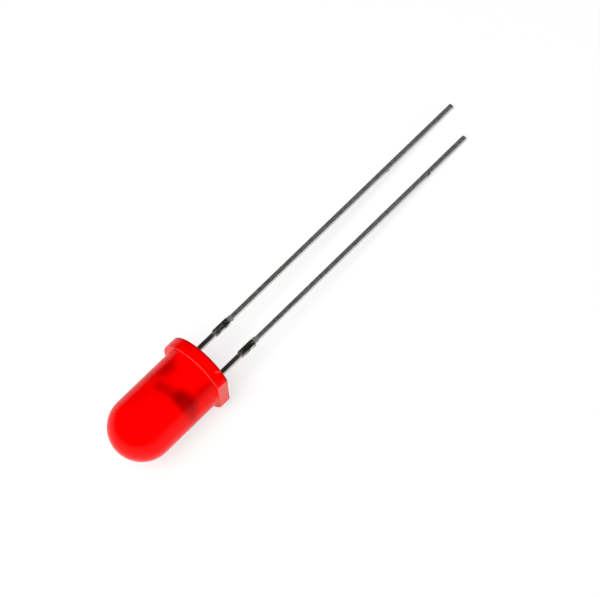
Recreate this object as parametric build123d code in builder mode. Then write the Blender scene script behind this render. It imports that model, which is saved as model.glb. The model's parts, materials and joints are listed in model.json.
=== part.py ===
from build123d import *
from math import atan, cos, hypot, sin, sqrt
import os

# A 5 mm through-hole light-emitting diode, in millimetres. Two leads stamped from one strip are
# cast into a round epoxy lens; the die, its wire and its adhesive are sealed in the same casting.
# The part lies on a flat surface: +Z is up, +X runs along the leads away from the lens, and the
# origin is under the middle of its bounding box. It touches the surface at three places: the
# flange's lead-side edge and the tips of both leads.
# In the LED's own frame x is the lens axis, zero on the base face and positive towards the lead
# tips, y runs from the cathode (negative) to the anode, and z is across the strip.

# Lens and flange
lens_diameter = 5.0
base_to_dome = 6.3            # from the base face to the dome's centre
flange_overhang = 0.45        # how far the flange stands out from the barrel
flange_thickness = 1.0
flat_ledge = 0.05             # the cathode flat is this far outside the barrel
flange_edge_radius = 0.06
barrel_root_radius = 0.10

# Leads, outside the lens
lead_pitch = 2.54
lead_width = 0.38
strip_thickness = 0.38
lead_edge_radius = 0.09
anode_length = 28.2
cathode_length = 26.8
tip_chamfer = 0.04
stub_start = 2.5              # sheared remains of the bar that tied the leads together
stub_length = 1.45
stub_projection = 0.06
stub_recess = 0.02            # the shears leave the stubs a little thinner than the strip

# Leadframe, inside the lens, by depth below the base face
round_depth = 0.6             # the leads' rounded section reaches this deep
neck_depth = 0.9
neck_end_depth = 2.45
neck_width = 0.5
neck_offset = 0.78            # the neck's centre from the lens axis, at its end
anvil_shoulder_depth = 4.0
anvil_top_depth = 4.3
anvil_width = 2.2
anvil_corner = 0.25
anvil_root_rise = 0.8         # how far the anvil's underside slopes, from the neck to the axis
post_knee_depth = 1.75
post_knee_height = 0.3
post_knee_offset = 0.3        # the knee's distance from the lens axis
post_top_depth = 4.1
post_gap = 0.3                # between the anvil's corner and the post's top
post_tip_width = 0.35

# Die, its adhesive and the cup that holds them
die_side = 0.30
die_height = 0.20
adhesive_thickness = 0.03
adhesive_margin = 0.02
cup_floor_margin = 0.05
cup_depth = 0.35
cup_flare = 0.17
cup_wall = 0.10
cup_height = 0.60             # the rim stands this far above the anvil's top

# Bond wire
wire_diameter = 0.03
bond_diameter = 0.09
bond_height = 0.03
wire_rise = 0.55              # loop height above the die
wire_bend = 0.25

lens_radius = lens_diameter / 2
flange_radius = lens_radius + flange_overhang
flat_offset = lens_radius + flat_ledge
anode_y = lead_pitch / 2
cathode_y = -lead_pitch / 2

adhesive_diameter = sqrt(2) * die_side + 2 * adhesive_margin
cup_floor_radius = adhesive_diameter / 2 + cup_floor_margin
cup_mouth_radius = cup_floor_radius + cup_flare
cup_outer_radius = cup_mouth_radius + cup_wall
rim_depth = anvil_top_depth + cup_height
cup_floor_depth = rim_depth - cup_depth
die_foot_depth = cup_floor_depth + adhesive_thickness
die_top_depth = die_foot_depth + die_height
post_inner_y = anvil_width / 2 + post_gap
post_outer_y = post_inner_y + post_tip_width
wire_foot_y = (post_inner_y + post_outer_y) / 2
wire_loop_depth = die_top_depth + wire_rise


def lying_attitude():
    """Slopes along x and y, in the LED's own frame, of the plane that touches all three contacts."""
    along, across_leads = 0.0, 0.0
    anode_reach = anode_length - tip_chamfer
    cathode_reach = cathode_length - tip_chamfer
    for _ in range(30):
        tilt = hypot(1, across_leads)
        core = strip_thickness / 2 - lead_edge_radius
        lead_drop = core * (1 + abs(across_leads)) + lead_edge_radius * hypot(along, tilt)
        ring = flange_radius - flange_edge_radius
        flange_drop = ring * tilt + flange_edge_radius * (along + hypot(along, tilt))
        along = 2 * (lead_drop - flange_drop) / (anode_reach + cathode_reach)
        across_leads = -(anode_reach - cathode_reach) * along / lead_pitch
    return along, across_leads, flange_drop / hypot(along, tilt)


slope_x, slope_y, axis_height = lying_attitude()
roll = atan(slope_y)
pitch = atan(-slope_x * cos(roll))
flat_corner = sqrt(flange_radius**2 - flat_offset**2)
reach_back = base_to_dome * cos(pitch) + lens_radius
reach_front = anode_length * cos(pitch) + (strip_thickness / 2 - tip_chamfer) * sin(pitch)
reach_right = flat_offset * cos(roll) + flat_corner * sin(roll)

led = Plane(
    origin=((reach_back - reach_front) / 2, (reach_right - flange_radius) / 2, axis_height),
    x_dir=(cos(pitch), 0, -sin(pitch)),
    z_dir=(sin(pitch) * cos(roll), -sin(roll), cos(pitch) * cos(roll)),
)
across = Plane(origin=led.origin, x_dir=led.y_dir, z_dir=led.x_dir)
lens_axis = Axis(led.origin, led.x_dir)


def lead_run(y, length):
    """The straight, round-edged run of one lead, with its two tie-bar stubs."""
    with BuildPart() as run:
        with BuildSketch(across.offset(-round_depth)):
            with Locations((y, 0)):
                RectangleRounded(lead_width, strip_thickness, lead_edge_radius)
        extrude(amount=round_depth + length)
        chamfer(faces().sort_by(lens_axis)[-1].edges(), tip_chamfer)
        with BuildSketch(led):
            with Locations((stub_start + stub_length / 2, y)):
                Rectangle(stub_length, lead_width + 2 * stub_projection)
        extrude(amount=strip_thickness / 2 - stub_recess, both=True)
    return run.part


cathode_run = lead_run(cathode_y, cathode_length)
anode_run = lead_run(anode_y, anode_length)

# Cathode lead: a neck leans in from the lead to an anvil that carries the reflector cup
with BuildPart() as cathode_lead:
    add(cathode_run)
    with BuildSketch(led):
        with BuildLine():
            Polyline(
                (-round_depth / 2, cathode_y - lead_width / 2),
                (-neck_depth, cathode_y - lead_width / 2),
                (-neck_end_depth, -neck_offset - neck_width / 2),
                (-anvil_shoulder_depth, -anvil_width / 2),
                (-anvil_top_depth, -anvil_width / 2 + anvil_corner),
                (-anvil_top_depth, anvil_width / 2 - anvil_corner),
                (-anvil_shoulder_depth, anvil_width / 2),
                (-neck_end_depth - anvil_root_rise, -neck_width / 2),
                (-neck_end_depth, -neck_offset + neck_width / 2),
                (-neck_depth, cathode_y + lead_width / 2),
                (-round_depth / 2, cathode_y + lead_width / 2),
                close=True,
            )
        make_face()
    extrude(amount=strip_thickness / 2, both=True)
    with BuildSketch(led):
        with BuildLine():
            Polyline(
                (-anvil_shoulder_depth, 0),
                (-anvil_shoulder_depth, cup_floor_radius),
                (-rim_depth, cup_outer_radius),
                (-rim_depth, cup_mouth_radius),
                (-cup_floor_depth, cup_floor_radius),
                (-cup_floor_depth, 0),
                close=True,
            )
        make_face()
    revolve(axis=lens_axis)
cathode_lead.part.label = "cathode_lead"

# Anode lead: its post has a slanted inner edge, with a flat top for the bond wire
with BuildPart() as anode_lead:
    add(anode_run)
    with BuildSketch(led):
        with BuildLine():
            Polyline(
                (-round_depth / 2, anode_y - lead_width / 2),
                (-neck_depth, anode_y - lead_width / 2),
                (-post_knee_depth, post_knee_offset),
                (-post_knee_depth - post_knee_height, post_knee_offset),
                (-post_top_depth, post_inner_y),
                (-post_top_depth, post_outer_y),
                (-neck_depth, anode_y + lead_width / 2),
                (-round_depth / 2, anode_y + lead_width / 2),
                close=True,
            )
        make_face()
    extrude(amount=strip_thickness / 2, both=True)
anode_lead.part.label = "anode_lead"

# Conductive adhesive on the cup's floor, and the die on it
with BuildPart() as die_attach:
    with BuildSketch(across.offset(-cup_floor_depth)):
        Circle(adhesive_diameter / 2)
    extrude(amount=-adhesive_thickness)
die_attach.part.label = "die_attach"

with BuildPart() as led_chip:
    with BuildSketch(across.offset(-die_foot_depth)):
        Rectangle(die_side, die_side)
    extrude(amount=-die_height)
led_chip.part.label = "led_chip"

# Bond wire: up from the die, over the cup's rim and down to the post, with a bond at each end
with BuildPart() as bond_wire:
    with BuildLine(led) as wire_path:
        FilletPolyline(
            (-die_top_depth, 0),
            (-wire_loop_depth, 0),
            (-wire_loop_depth, wire_foot_y),
            (-post_top_depth, wire_foot_y),
            radius=wire_bend,
        )
    with BuildSketch(across.offset(-die_top_depth)):
        Circle(wire_diameter / 2)
    sweep(path=wire_path.line)
    for depth, y in ((die_top_depth, 0), (post_top_depth, wire_foot_y)):
        with BuildSketch(across.offset(-depth)):
            with Locations((y, 0)):
                Circle(bond_diameter / 2)
        extrude(amount=-bond_height)
bond_wire.part.label = "bond_wire"

# Epoxy lens: one casting, turned about the lens axis, closed around everything inside it
with BuildPart() as epoxy_lens:
    with BuildSketch(led):
        with BuildLine():
            Polyline(
                (-base_to_dome - lens_radius, 0),
                (0, 0),
                (0, flange_radius),
                (-flange_thickness, flange_radius),
                (-flange_thickness, lens_radius),
                (-base_to_dome, lens_radius),
            )
            RadiusArc((-base_to_dome, lens_radius), (-base_to_dome - lens_radius, 0), -lens_radius)
        make_face()
        fillet(vertices().group_by(Axis.Y)[-1], flange_edge_radius)
        fillet(vertices().group_by(Axis.Y)[-2].sort_by(Axis.X)[-1], barrel_root_radius)
    revolve(axis=lens_axis)
    with BuildSketch(across):
        with Locations((-flat_offset - flange_overhang, 0)):
            Rectangle(2 * flange_overhang, 2 * flange_radius)
    extrude(amount=-flange_thickness - barrel_root_radius, mode=Mode.SUBTRACT)
    for inner in (cathode_lead, anode_lead, die_attach, led_chip, bond_wire):
        add(inner.part, mode=Mode.SUBTRACT)
epoxy_lens.part.label = "epoxy_lens"

os.makedirs("parts", exist_ok=True)
export_step(epoxy_lens.part, "parts/epoxy_lens.step")
export_step(cathode_lead.part, "parts/cathode_lead.step")
export_step(anode_lead.part, "parts/anode_lead.step")
export_step(led_chip.part, "parts/led_chip.step")
export_step(die_attach.part, "parts/die_attach.step")
export_step(bond_wire.part, "parts/bond_wire.step")
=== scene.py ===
import json
from math import acos, cos, pi, radians, sin, sqrt

import bmesh
import bpy
from mathutils import Matrix, Vector, noise


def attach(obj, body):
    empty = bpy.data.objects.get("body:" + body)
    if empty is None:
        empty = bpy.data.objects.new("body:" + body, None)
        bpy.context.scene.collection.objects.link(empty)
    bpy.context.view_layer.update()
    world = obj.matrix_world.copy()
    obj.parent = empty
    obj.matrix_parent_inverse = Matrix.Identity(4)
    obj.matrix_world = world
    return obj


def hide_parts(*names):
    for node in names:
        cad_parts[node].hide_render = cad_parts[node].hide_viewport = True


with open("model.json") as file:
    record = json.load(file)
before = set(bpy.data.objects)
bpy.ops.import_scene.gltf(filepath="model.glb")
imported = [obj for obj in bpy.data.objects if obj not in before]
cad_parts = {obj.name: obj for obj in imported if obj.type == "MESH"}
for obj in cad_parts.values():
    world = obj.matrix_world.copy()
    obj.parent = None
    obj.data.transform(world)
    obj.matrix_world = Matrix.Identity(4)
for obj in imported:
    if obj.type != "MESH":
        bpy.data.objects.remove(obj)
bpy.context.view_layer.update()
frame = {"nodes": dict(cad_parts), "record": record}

MM = 0.001
WHITE = (1, 1, 1, 1)
BLACK = (0, 0, 0, 1)

# ---------------------------------------------------------------- the LED's own frame
# x is the lens axis, zero on the base and positive towards the lead tips; y runs from the cathode
# to the anode; z is across the stamped strip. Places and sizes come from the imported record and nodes.
mounts = {mount["name"]: mount for mount in frame["record"]["mounts"]}


def place(name):
    return Vector(mounts[name]["pos_m"])


leadward = -Vector(mounts["lens_barrel"]["axis"]).normalized()
base_centre = place("lens_barrel") + leadward * (place("base") - place("lens_barrel")).dot(leadward)
between_tips = place("anode_lead") - place("cathode_lead")
anodeward = (between_tips - leadward * between_tips.dot(leadward)).normalized()
upward = leadward.cross(anodeward)
led = Matrix((leadward, anodeward, upward)).transposed().to_4x4()
led.translation = base_centre
to_led = led.inverted()


def led_points(node):
    """A node's corners in the LED's own frame, in metres."""
    return [to_led @ vertex.co for vertex in frame["nodes"][node].data.vertices]


# The lens, in metres.
lens_points = led_points("epoxy_lens")
lens_radius = mounts["lens_barrel"]["dims"]["r_mm"] * MM
flange_radius = max(sqrt(p.y**2 + p.z**2) for p in lens_points)
flat_offset = -min(p.y for p in lens_points)
dome_tip = min(p.x for p in lens_points)
flange_front = (to_led @ place("flange_front")).x

# The leads, in millimetres, for their finish and burrs. Both have the same strip and tie-bar stubs.
ROUND_OFF = 0.01
anode_y = (to_led @ place("anode_lead")).y / MM
cathode_y = (to_led @ place("cathode_lead")).y / MM
anode_points = [point / MM for point in led_points("anode_lead")]
strip_half = max(p.z for p in anode_points)
proud_points = [p for p in anode_points if p.x > 0 and abs(p.y - anode_y) > strip_half + ROUND_OFF]
stub_start = min(p.x for p in proud_points)
stub_end = max(p.x for p in proud_points)
stub_projection = max(abs(p.y - anode_y) for p in proud_points) - strip_half


# ---------------------------------------------------------------- node helpers
def new_material(name):
    material = bpy.data.materials.new(name)
    material.use_nodes = True
    return material, material.node_tree, material.node_tree.nodes["Principled BSDF"]


def feed(tree, socket, value):
    """Links a socket, or sets a plain number, vector or colour."""
    if isinstance(value, bpy.types.NodeSocket):
        tree.links.new(value, socket)
    else:
        socket.default_value = value


def scalar(tree, operation, *values):
    node = tree.nodes.new("ShaderNodeMath")
    node.operation = operation
    for socket, value in zip(node.inputs, values):
        feed(tree, socket, value)
    return node.outputs["Value"]


def vector(tree, operation, *values):
    node = tree.nodes.new("ShaderNodeVectorMath")
    node.operation = operation
    for socket, value in zip(node.inputs, values):
        feed(tree, socket, value)
    return node.outputs["Value" if operation in ("DOT_PRODUCT", "DISTANCE", "LENGTH") else "Vector"]


def remap(tree, value, from_range, to_range):
    """Carries one range over to another with soft ends, and holds it there."""
    node = tree.nodes.new("ShaderNodeMapRange")
    node.interpolation_type = "SMOOTHSTEP"
    feed(tree, node.inputs["Value"], value)
    node.inputs["From Min"].default_value, node.inputs["From Max"].default_value = from_range
    node.inputs["To Min"].default_value, node.inputs["To Max"].default_value = to_range
    return node.outputs["Result"]


def mix_colour(tree, share, first, second):
    node = tree.nodes.new("ShaderNodeMix")
    node.data_type = "RGBA"
    feed(tree, node.inputs["Factor"], share)
    feed(tree, node.inputs["A"], first)
    feed(tree, node.inputs["B"], second)
    return node.outputs["Result"]


def both(tree, first, second):
    """Where two masks overlap."""
    return scalar(tree, "MULTIPLY", first, second)


def either(tree, first, second):
    """The stronger of two masks."""
    return scalar(tree, "MAXIMUM", first, second)


def dim(tree, value, mask, depth=1.0):
    """Takes a share of a value away where the mask is 1."""
    kept = scalar(tree, "MULTIPLY_ADD", mask, -depth, 1.0)
    return scalar(tree, "MULTIPLY", value, kept)


def mottle(tree, place, scale, detail=3, stretch=(1, 1, 1)):
    """Noise from 0 to 1, with its scale in features to the millimetre."""
    node = tree.nodes.new("ShaderNodeTexNoise")
    tree.links.new(vector(tree, "MULTIPLY", place, stretch), node.inputs["Vector"])
    node.inputs["Scale"].default_value = scale
    node.inputs["Detail"].default_value = detail
    return node.outputs["Fac"]


def roughen(tree, bsdf, height, depth_mm):
    node = tree.nodes.new("ShaderNodeBump")
    node.inputs["Distance"].default_value = depth_mm * MM
    node.inputs["Strength"].default_value = 1
    tree.links.new(height, node.inputs["Height"])
    tree.links.new(node.outputs["Normal"], bsdf.inputs["Normal"])


def led_place(tree):
    """The surface's place in the LED's own frame, in millimetres."""
    coordinates = tree.nodes.new("ShaderNodeTexCoord")
    turn = tree.nodes.new("ShaderNodeMapping")
    turn.vector_type = "TEXTURE"
    turn.inputs["Location"].default_value = base_centre
    turn.inputs["Rotation"].default_value = led.to_euler()
    turn.inputs["Scale"].default_value = (MM, MM, MM)
    tree.links.new(coordinates.outputs["Object"], turn.inputs["Vector"])
    return turn.outputs["Vector"]


def along_x(tree, place):
    return vector(tree, "DOT_PRODUCT", place, (1, 0, 0))


def facing(tree, direction):
    """How squarely the surface faces a direction, from 1 down to -1."""
    geometry = tree.nodes.new("ShaderNodeNewGeometry")
    return vector(tree, "DOT_PRODUCT", geometry.outputs["Normal"], direction)


def soft_stroke(tree, place, start, end, core, fade):
    """1 along a line between two (x, y) places, falling to 0 over the fade."""
    start, end = Vector((*start, 0)), Vector((*end, 0))
    run = end - start
    flat = vector(tree, "MULTIPLY", place, (1, 1, 0))
    from_start = vector(tree, "SUBTRACT", flat, start)
    ahead = vector(tree, "DOT_PRODUCT", from_start, run)
    share = scalar(tree, "MULTIPLY", ahead, 1 / run.length_squared)
    share.node.use_clamp = True
    scaled = tree.nodes.new("ShaderNodeVectorMath")
    scaled.operation = "SCALE"
    scaled.inputs[0].default_value = run
    tree.links.new(share, scaled.inputs["Scale"])
    distance = vector(tree, "DISTANCE", from_start, scaled.outputs["Vector"])
    return remap(tree, distance, (core, core + fade), (1, 0))


def window(tree, x, start, end, edge=0.12):
    """1 between two stations along x, with soft ends."""
    rise = remap(tree, x, (start - edge, start + edge), (0, 1))
    return both(tree, rise, remap(tree, x, (end - edge, end + edge), (1, 0)))


# ---------------------------------------------------------------- camera, light and floor
# Lamps: name, place and width in metres, and power in watts.
SOFTBOXES = (
    ("key", (-0.16, -0.04, 0.36), 0.34, 2.1),
    ("fill", (0.05, -0.34, 0.10), 0.25, 0.3),
)
HORIZON_GLOW = 0.6
SKY_GLOW = 0.02
HORIZON_BAND = 0.1
FLOOR_HALF = 0.6
FLOOR_WHITE = (0.95, 0.95, 0.95, 1)
FLOOR_GLOW_SHARE = 0.72


def set_camera():
    """A long lens, above the dome's end and a little to the cathode's side."""
    tilt, roll, image_turn = radians(18.5), radians(21), radians(44.1)
    distance = 0.22447
    focal_length, sensor_width = 186, 36
    clip_start, clip_end = 0.01, 10
    aim = led @ (Vector((8.742, -1.35, 0)) * MM)
    towards = led.to_3x3() @ Vector((-sin(tilt), -sin(roll) * cos(tilt), cos(roll) * cos(tilt)))
    leads_seen = (leadward - towards * leadward.dot(towards)).normalized()
    across_seen = towards.cross(leads_seen)
    right = leads_seen * cos(image_turn) - across_seen * sin(image_turn)
    above = towards.cross(right)
    turn = Matrix((right, above, towards)).transposed().to_4x4()
    camera = bpy.data.objects.new("camera", bpy.data.cameras.new("camera"))
    camera.data.lens = focal_length
    camera.data.sensor_width = sensor_width
    camera.data.clip_start = clip_start
    camera.data.clip_end = clip_end
    camera.matrix_world = Matrix.Translation(aim + towards * distance) @ turn
    bpy.context.scene.collection.objects.link(camera)
    bpy.context.scene.camera = camera


def add_softbox(name, where, size, watts):
    """A round lamp that lights surfaces, and leaves no hot spot on glossy ones."""
    light = bpy.data.lights.new(name, "AREA")
    light.shape = "DISK"
    light.size = size
    light.energy = watts
    lamp = bpy.data.objects.new(name, light)
    lamp.location = where
    lamp.rotation_mode = "QUATERNION"
    lamp.rotation_quaternion = (Vector(where) - base_centre).to_track_quat("Z", "Y")
    lamp.visible_glossy = False
    lamp.visible_transmission = False
    bpy.context.scene.collection.objects.link(lamp)


def set_world():
    """Bright at the horizon and dim above it, as round a light table; the camera sees plain white."""
    world = bpy.data.worlds.new("studio")
    world.use_nodes = True
    tree = world.node_tree
    coordinates = tree.nodes.new("ShaderNodeTexCoord")
    path = tree.nodes.new("ShaderNodeLightPath")
    height = vector(tree, "DOT_PRODUCT", coordinates.outputs["Generated"], (0, 0, 1))
    glow = remap(tree, height, (-HORIZON_BAND, HORIZON_BAND), (HORIZON_GLOW, SKY_GLOW))
    background = tree.nodes["Background"]
    background.inputs["Color"].default_value = WHITE
    feed(tree, background.inputs["Strength"], either(tree, glow, path.outputs["Is Camera Ray"]))
    bpy.context.scene.world = world


def floor_material():
    """Matt white. The camera, gloss and the clear resin see it partly lit from below."""
    material, tree, bsdf = new_material("floor")
    material.cycles.emission_sampling = "NONE"
    bsdf.inputs["Base Color"].default_value = FLOOR_WHITE
    bsdf.inputs["Roughness"].default_value = 0.9
    bsdf.inputs["Specular IOR Level"].default_value = 0
    glow = tree.nodes.new("ShaderNodeEmission")
    glow.inputs["Color"].default_value = WHITE
    glow.inputs["Strength"].default_value = 1
    path = tree.nodes.new("ShaderNodeLightPath")
    seen = either(tree, path.outputs["Is Camera Ray"], path.outputs["Is Glossy Ray"])
    seen = either(tree, seen, path.outputs["Is Transmission Ray"])
    blend = tree.nodes.new("ShaderNodeMixShader")
    feed(tree, blend.inputs["Fac"], scalar(tree, "MULTIPLY", seen, FLOOR_GLOW_SHARE))
    feed(tree, blend.inputs[1], bsdf.outputs["BSDF"])
    feed(tree, blend.inputs[2], glow.outputs["Emission"])
    feed(tree, tree.nodes["Material Output"].inputs["Surface"], blend.outputs["Shader"])
    return material


def add_floor():
    half = FLOOR_HALF
    corners = [(-half, -half, 0), (half, -half, 0), (half, half, 0), (-half, half, 0)]
    mesh = bpy.data.meshes.new("floor")
    mesh.from_pydata(corners, [], [(0, 1, 2, 3)])
    mesh.materials.append(floor_material())
    floor = bpy.data.objects.new("floor", mesh)
    bpy.context.scene.collection.objects.link(floor)


def set_studio():
    bpy.context.scene.view_settings.view_transform = "Standard"
    set_world()
    for name, where, size, watts in SOFTBOXES:
        add_softbox(name, where, size, watts)
    add_floor()


# ---------------------------------------------------------------- mesh helpers
def skin(bm, first, second):
    """Joins two rings with the same number of corners by a band of faces."""
    for i in range(len(first)):
        j = (i + 1) % len(first)
        bm.faces.new((first[i], first[j], second[j], second[i]))


def fan(bm, ring, middle):
    """Closes a ring with triangles round a middle point."""
    for i in range(len(ring)):
        bm.faces.new((ring[i], ring[(i + 1) % len(ring)], middle))


def add_piece(name, bm):
    """Makes a piece that rides on the part from a mesh drawn in the LED's own frame, in metres."""
    bmesh.ops.recalc_face_normals(bm, faces=bm.faces)
    mesh = bpy.data.meshes.new(name)
    bm.to_mesh(mesh)
    bm.free()
    mesh.transform(led)
    piece = bpy.data.objects.new(name, mesh)
    bpy.context.scene.collection.objects.link(piece)
    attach(piece, "root")
    return piece


# ---------------------------------------------------------------- lens
# Roundings of the flange's edges and of the barrel's root, and the steps that each stretch is cut into.
EDGE_RADIUS = 0.07 * MM
ROOT_RADIUS = 0.10 * MM
DOME_STEPS = 48
BARREL_STEPS = 24
ROUNDING_STEPS = 6
BASE_STEPS = 24
FLAT_STEPS = 48
RIM_STEPS = 240
WELD_DISTANCE = 0.0005 * MM
SHARP_ANGLE = radians(40)


def quarter_turn(steps, first=0):
    return [i / steps * pi / 2 for i in range(first, steps + 1)]


def outline_angles():
    """Angles round the lens, from one end of the flat: across the flat, then round the rim."""
    corner = acos(flat_offset / flange_radius)
    flat, rim = 2 * corner, 2 * pi - 2 * corner
    angles = [pi - corner + flat * i / FLAT_STEPS for i in range(FLAT_STEPS)]
    angles += [pi + corner + rim * i / RIM_STEPS for i in range(RIM_STEPS)]
    return angles


def flange_edge(angle):
    """The flange's outline: round, but for the flat on the cathode's side."""
    inward = -cos(angle)
    if inward > flat_offset / flange_radius:
        return flat_offset / inward
    return flange_radius


def lens_profile():
    """Stations from the dome's tip to the base: x, the radius, and how far the radius stays inside the
    flange's outline (None on the dome and barrel, which are round)."""
    edge, root = EDGE_RADIUS, ROOT_RADIUS
    dome_centre = dome_tip + lens_radius
    barrel_end = flange_front - root
    barrel_step = (barrel_end - dome_centre) / BARREL_STEPS
    rings = []
    for a in quarter_turn(DOME_STEPS, 1):
        rings.append((dome_centre - lens_radius * cos(a), lens_radius * sin(a), None))
    for i in range(1, BARREL_STEPS + 1):
        rings.append((dome_centre + barrel_step * i, lens_radius, None))
    for a in quarter_turn(ROUNDING_STEPS, 1):
        rings.append((barrel_end + root * sin(a), lens_radius + root * (1 - cos(a)), edge))
    for a in quarter_turn(ROUNDING_STEPS):
        rings.append((flange_front + edge * (1 - cos(a)), flange_radius, edge * (1 - sin(a))))
    for a in quarter_turn(ROUNDING_STEPS):
        rings.append((-edge * (1 - sin(a)), flange_radius, edge * (1 - cos(a))))
    for i in range(1, BASE_STEPS):
        rings.append((0, (flange_radius - edge) * (1 - i / BASE_STEPS), edge))
    return rings


def make_lens():
    angles = outline_angles()
    bm = bmesh.new()
    tip = bm.verts.new((dome_tip, 0, 0))
    previous = None
    for x, radius, inset in lens_profile():
        ring = []
        for a in angles:
            r = radius if inset is None else min(radius, flange_edge(a) - inset)
            ring.append(bm.verts.new((x, r * cos(a), r * sin(a))))
        if previous is None:
            fan(bm, ring, tip)
        else:
            skin(bm, previous, ring)
        previous = ring
    fan(bm, previous, bm.verts.new((0, 0, 0)))
    bmesh.ops.remove_doubles(bm, verts=bm.verts, dist=WELD_DISTANCE)
    lens = add_piece("diffused_lens", bm)
    lens.data.shade_smooth()
    lens.data.set_sharp_from_angle(angle=SHARP_ANGLE)
    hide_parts("epoxy_lens")
    return lens


# ---------------------------------------------------------------- resin
RED = (1.0, 0.0, 0.0, 1)
# Pale pink for the resin's painted highlights and reflection.
HIGHLIGHT_PINK = (1.0, 0.30, 0.26, 1)

# Blurred shadows of the lead frame in the cloudy resin. Start and end are (x, y) places, and the core
# and fade are millimetres too; the last number is the depth.
FRAME_SHADOWS = (
    ((-3.40, -1.82), (-3.35, -1.45), 0.22, 0.80, 0.50),
    ((-3.60, -1.20), (-3.85, 0.30), 0.08, 0.70, 0.38),
    ((-3.10, -1.90), (-1.10, -1.95), 0.05, 0.50, 0.30),
    ((-3.70, 1.60), (-2.80, 1.10), 0.10, 0.60, 0.20),
    ((-2.75, 0.90), (-2.25, 0.80), 0.10, 0.75, 0.26),
    ((-2.20, 1.15), (-1.10, 1.60), 0.05, 0.60, 0.20),
)


def flange_rim(tree, place):
    """1 on the flange's round wall."""
    rim = flange_radius / MM
    radius = vector(tree, "LENGTH", vector(tree, "MULTIPLY", place, (0, 1, 1)))
    return remap(tree, radius, (rim - 0.20, rim - 0.12), (0, 1))


def resin_light(tree, place, x, on_rim):
    """Painted shade in the resin's colour: how much light the resin gives back, less in the lead frame's
    blurred shadows and in a dark line where the rim meets the base.
    """
    light = 1.0
    for start, end, core, fade, depth in FRAME_SHADOWS:
        light = dim(tree, light, soft_stroke(tree, place, start, end, core, fade), depth)
    cloud = remap(tree, mottle(tree, place, 0.8), (0.3, 0.7), (0.96, 1.0))
    light = scalar(tree, "MULTIPLY", light, cloud)
    # Painted shade: a dark line on the rim where it meets the base, which faces away from the light.
    base_edge_shade = remap(tree, x, (-0.22, -0.04), (0, 0.55))
    return dim(tree, light, both(tree, on_rim, base_edge_shade))


def painted_resin_highlights(tree, place, x, on_rim):
    """Painted highlights that make the surface paler: a line along the flange's front edge, a streak by the
    cathode, and the flat, frosted and with a painted reflection.
    """
    # Painted highlight: a pale, broken line along the flange's front edge.
    front_edge = flange_front / MM
    edge_highlight = both(tree, on_rim, window(tree, x, front_edge, front_edge + 0.05, 0.03))
    broken = remap(tree, mottle(tree, place, 0.7), (0.35, 0.65), (0.04, 0.20))
    # Painted highlight: a pale streak on the flange's wall by the cathode.
    streak_highlight = soft_stroke(tree, place, (-0.40, -1.82), (-0.03, -1.98), 0.0, 0.10)
    pale = either(tree, both(tree, edge_highlight, broken), scalar(tree, "MULTIPLY", streak_highlight, 0.2))
    # The flat facing the cathode is frosted and also carries a painted reflection.
    flat_y = flat_offset / MM
    sideways = vector(tree, "DOT_PRODUCT", place, (0, -1, 0))
    on_flat = remap(tree, sideways, (flat_y - 0.04, flat_y - 0.01), (0, 0.3))
    faces_cathode = remap(tree, facing(tree, -anodeward), (0.7, 0.97), (0, 1))
    return either(tree, pale, both(tree, on_flat, faces_cathode))


def epoxy_material():
    """Cloudy red resin, a little clear at its edges, with painted shade from the lead frame and painted
    highlights.
    """
    material, tree, bsdf = new_material("diffused_red_epoxy")
    place = led_place(tree)
    x = along_x(tree, place)
    on_rim = flange_rim(tree, place)
    # Painted shade darkens the red; painted highlights and the flat pale it.
    red = mix_colour(tree, resin_light(tree, place, x, on_rim), BLACK, RED)
    tint = mix_colour(tree, painted_resin_highlights(tree, place, x, on_rim), red, HIGHLIGHT_PINK)
    grain = mottle(tree, place, 6)
    feed(tree, bsdf.inputs["Base Color"], tint)
    feed(tree, bsdf.inputs["Roughness"], remap(tree, grain, (0.3, 0.7), (0.14, 0.20)))
    roughen(tree, bsdf, grain, 0.002)
    bsdf.inputs["IOR"].default_value = 1.5
    bsdf.inputs["Specular IOR Level"].default_value = 0.07
    bsdf.inputs["Transmission Weight"].default_value = 0.07
    bsdf.inputs["Subsurface Weight"].default_value = 0.5
    bsdf.inputs["Subsurface Radius"].default_value = (1, 0.2, 0.2)
    bsdf.inputs["Subsurface Scale"].default_value = 2 * MM
    return material


# ---------------------------------------------------------------- leads
NEAR_TIN = (0.52, 0.52, 0.50, 1)
FAR_TIN = (0.47, 0.47, 0.46, 1)
SPECKLED_TIN = (0.13, 0.13, 0.13, 1)
BLOTCHED_TIN = (0.16, 0.16, 0.16, 1)
# Painted shade next to the lens.
ROOT_SHADE = (0.10, 0.10, 0.10, 1)
SHEARED_AND_LIT_EDGE = (0.88, 0.88, 0.86, 1)
BARE_STEEL = (0.055, 0.058, 0.05, 1)
SCRAPED_STEEL = (0.30, 0.30, 0.28, 1)
TORN_STEEL = (0.78, 0.78, 0.76, 1)
NICKED_STEEL = (0.05, 0.05, 0.05, 1)

# Stretches along x over which the finish and the painted light on the strip's sides change, and the nick on
# the cathode, in millimetres.
DULLING = (4, 22)
SHEARED_AND_LIT_SPAN = (8, 22)
NICK_START = (22.5, -1.5)
NICK_END = (22.7, -1.4)


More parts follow.
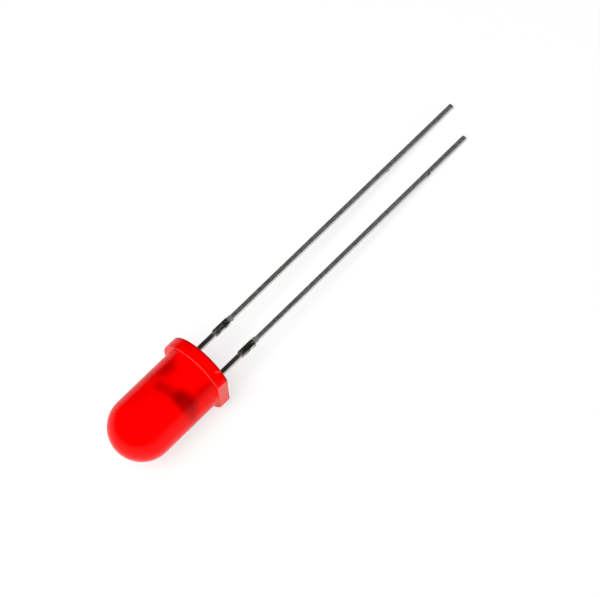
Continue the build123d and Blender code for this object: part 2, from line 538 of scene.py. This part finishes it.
def tin_colour(tree, x, speckle, blotch, sideways):
    """Speckled tin, with painted shade next to the lens, and brighter on the strip's sides, as sheared metal
    and with painted light.
    """
    tin = mix_colour(tree, remap(tree, x, DULLING, (0, 1)), NEAR_TIN, FAR_TIN)
    tin = mix_colour(tree, remap(tree, speckle, (0.4, 0.62), (0.5, 0)), tin, SPECKLED_TIN)
    tin = mix_colour(tree, remap(tree, blotch, (0.5, 0.7), (0, 0.35)), tin, BLOTCHED_TIN)
    # Painted shade where the leads meet the lens.
    root = remap(tree, x, (stub_start - 0.3, stub_start), (0.85, 0))
    tin = mix_colour(tree, root, tin, ROOT_SHADE)
    # The strip's sides: pale as sheared metal, and with painted light, fading towards the tips.
    sheared_and_lit = both(tree, sideways, remap(tree, x, SHEARED_AND_LIT_SPAN, (0.55, 0.25)))
    return mix_colour(tree, sheared_and_lit, tin, SHEARED_AND_LIT_EDGE)


def stub_mask(tree, place, x, sideways):
    """1 on the tie-bar stubs, apart from bright gaps on their sides."""
    gaps = remap(tree, mottle(tree, place, 2.2), (0.42, 0.56), (0, 0.9))
    return dim(tree, window(tree, x, stub_start, stub_end), both(tree, gaps, sideways))


def stub_colour(tree, place):
    """Dark bare steel with scraped streaks."""
    streaks = mottle(tree, place, 2.6, 4, (0.5, 1.6, 1))
    return mix_colour(tree, remap(tree, streaks, (0.48, 0.62), (0, 0.75)), BARE_STEEL, SCRAPED_STEEL)


def torn_mask(tree, x, speckle):
    """Pale torn patches at both ends of the stubs."""
    near_patch = window(tree, x, stub_start - 0.1, stub_start + 0.15, 0.06)
    far_patch = window(tree, x, stub_end - 0.02, stub_end + 0.38, 0.08)
    near_end = both(tree, near_patch, remap(tree, speckle, (0.46, 0.56), (0, 0.6)))
    far_end = both(tree, far_patch, remap(tree, speckle, (0.34, 0.5), (0.15, 0.75)))
    return either(tree, near_end, far_end)


def lead_material():
    """Tin over steel: painted shade at the lens, speckled grey to the cut ends, and torn bare on the stubs.
    """
    material, tree, bsdf = new_material("tinned_steel")
    place = led_place(tree)
    x = along_x(tree, place)
    blotch = mottle(tree, place, 1.3, 4, (0.6, 1.5, 1.5))
    speckle = mottle(tree, place, 5, 4, (0.7, 1, 1))
    fine = mottle(tree, place, 14, 3, (0.3, 1, 1))
    sideways = remap(tree, scalar(tree, "ABSOLUTE", facing(tree, anodeward)), (0.5, 0.9), (0, 1))
    stub = stub_mask(tree, place, x, sideways)
    tin = tin_colour(tree, x, speckle, blotch, sideways)
    worn = mix_colour(tree, stub, tin, stub_colour(tree, place))
    worn = mix_colour(tree, torn_mask(tree, x, speckle), worn, TORN_STEEL)
    nick = soft_stroke(tree, place, NICK_START, NICK_END, 0.03, 0.1)
    worn = mix_colour(tree, scalar(tree, "MULTIPLY", nick, 0.8), worn, NICKED_STEEL)
    feed(tree, bsdf.inputs["Base Color"], worn)
    feed(tree, bsdf.inputs["Metallic"], remap(tree, x, DULLING, (0.80, 0.72)))
    feed(tree, bsdf.inputs["Roughness"], remap(tree, speckle, (0.3, 0.7), (0.25, 0.5)))
    roughen(tree, bsdf, scalar(tree, "MULTIPLY_ADD", stub, speckle, fine), 0.02)
    return material


def grained_material(name, colour, shade, metallic, roughness, scale):
    """A small part's finish: two tones of one colour in fine grain."""
    material, tree, bsdf = new_material(name)
    grain = mottle(tree, led_place(tree), scale)
    tone = mix_colour(tree, remap(tree, grain, (0.3, 0.7), (0, 1)), colour, shade)
    feed(tree, bsdf.inputs["Base Color"], tone)
    feed(tree, bsdf.inputs["Roughness"], remap(tree, grain, (0.3, 0.7), (roughness, roughness + 0.15)))
    bsdf.inputs["Metallic"].default_value = metallic
    roughen(tree, bsdf, grain, 0.004)
    return material


# ---------------------------------------------------------------- burrs on the leads
BURR_STEPS = 14
BURR_SUNK = 0.25
BURR_FATNESS = 0.7
LOWEST_TEAR = 0.12


def burr_height(share, seed):
    """How tall a burr stands at a share of its length: ragged, and low at both ends."""
    tear = 0.4 + 1.3 * noise.noise(Vector((share * 7, seed, 0)))
    taper = sqrt(max(1 - (2 * share - 1)**4, 0.02))
    return max(tear, LOWEST_TEAR) * taper


def ragged_burr(name, start, end, height, seed):
    """A jagged ridge of torn metal on a lead, from one place to another, standing out along height."""
    start, end, height = Vector(start) * MM, Vector(end) * MM, Vector(height) * MM
    half_width = height.cross(end - start).normalized() * height.length * BURR_FATNESS
    bm = bmesh.new()
    previous = None
    for i in range(BURR_STEPS + 1):
        share = i / BURR_STEPS
        tall = burr_height(share, seed)
        lean = half_width * 0.5 * noise.noise(Vector((share * 4, seed, 7)))
        foot = start.lerp(end, share) - height * BURR_SUNK
        shoulder = foot + height * (BURR_SUNK + 0.6 * tall) - half_width * 0.4 + lean
        crest = foot + height * (BURR_SUNK + tall) + lean
        corners = (foot - half_width, shoulder, crest, foot + half_width)
        ring = [bm.verts.new(corner) for corner in corners]
        if previous is None:
            bm.faces.new(ring)
        else:
            skin(bm, previous, ring)
        previous = ring
    bm.faces.new(previous[::-1])
    burr = add_piece(name, bm)
    return burr


def stub_burrs(lead, y):
    """Torn metal round the stubs of one lead, whose middle is at y: a start, an end and a height each."""
    half = strip_half
    side = y - half
    stub_side = side - stub_projection
    rows = (
        ((stub_start, stub_side, half * 0.5), (stub_start + 0.5, stub_side, half * 0.6), (0, -0.10, 0.01)),
        ((stub_end - 0.1, side, 0.08), (stub_end + 0.36, side, 0.05), (0, -0.12, 0)),
        ((stub_start - 0.05, y - half * 0.4, half), (stub_start + 0.35, y + half * 0.5, half), (0, 0, 0.06)),
        ((stub_end - 0.3, y + half * 0.2, half), (stub_end + 0.1, y - half * 0.8, half), (0, 0, 0.07)),
        ((stub_end - 0.1, y + half, 0.12), (stub_end + 0.32, y + half, 0.12), (0, 0.10, 0)),
    )
    burrs = []
    for i, (start, end, height) in enumerate(rows):
        burrs.append(ragged_burr(f"{lead}_stub_burr_{i + 1}", start, end, height, 3.1 * i + y))
    return burrs


def make_burrs():
    """Torn metal on both leads' stubs, and one loose burr further out on the anode."""
    burrs = stub_burrs("cathode", cathode_y) + stub_burrs("anode", anode_y)
    side = anode_y - strip_half
    burrs.append(ragged_burr("anode_burr", (20.7, side, -0.05), (21.0, side, 0.0), (0.02, -0.10, 0), 9.4))
    return burrs


# ---------------------------------------------------------------- the whole part
# Small parts: node, material, its two tones, how metallic, how rough, and grains to the millimetre.
SMALL_PARTS = (
    ("led_chip", "gallium_phosphide", (0.16, 0.10, 0.05, 1), (0.24, 0.16, 0.08, 1), 0.2, 0.25, 20),
    ("die_attach", "silver_epoxy", (0.62, 0.62, 0.60, 1), (0.48, 0.48, 0.46, 1), 0.6, 0.5, 30),
    ("bond_wire", "gold_wire", (0.95, 0.68, 0.26, 1), (0.82, 0.55, 0.18, 1), 1.0, 0.2, 25),
)


def dress_node(node, finish):
    """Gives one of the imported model's nodes its finish."""
    for slot in frame["nodes"][node].material_slots:
        slot.material = finish


set_camera()
set_studio()
make_lens().data.materials.append(epoxy_material())
steel = lead_material()
dress_node("cathode_lead", steel)
dress_node("anode_lead", steel)
for node, *finish in SMALL_PARTS:
    dress_node(node, grained_material(*finish))
burr_steel = grained_material("torn_steel", (0.50, 0.50, 0.48, 1), (0.08, 0.08, 0.075, 1), 0.6, 0.35, 5)
for burr in make_burrs():
    burr.data.materials.append(burr_steel)
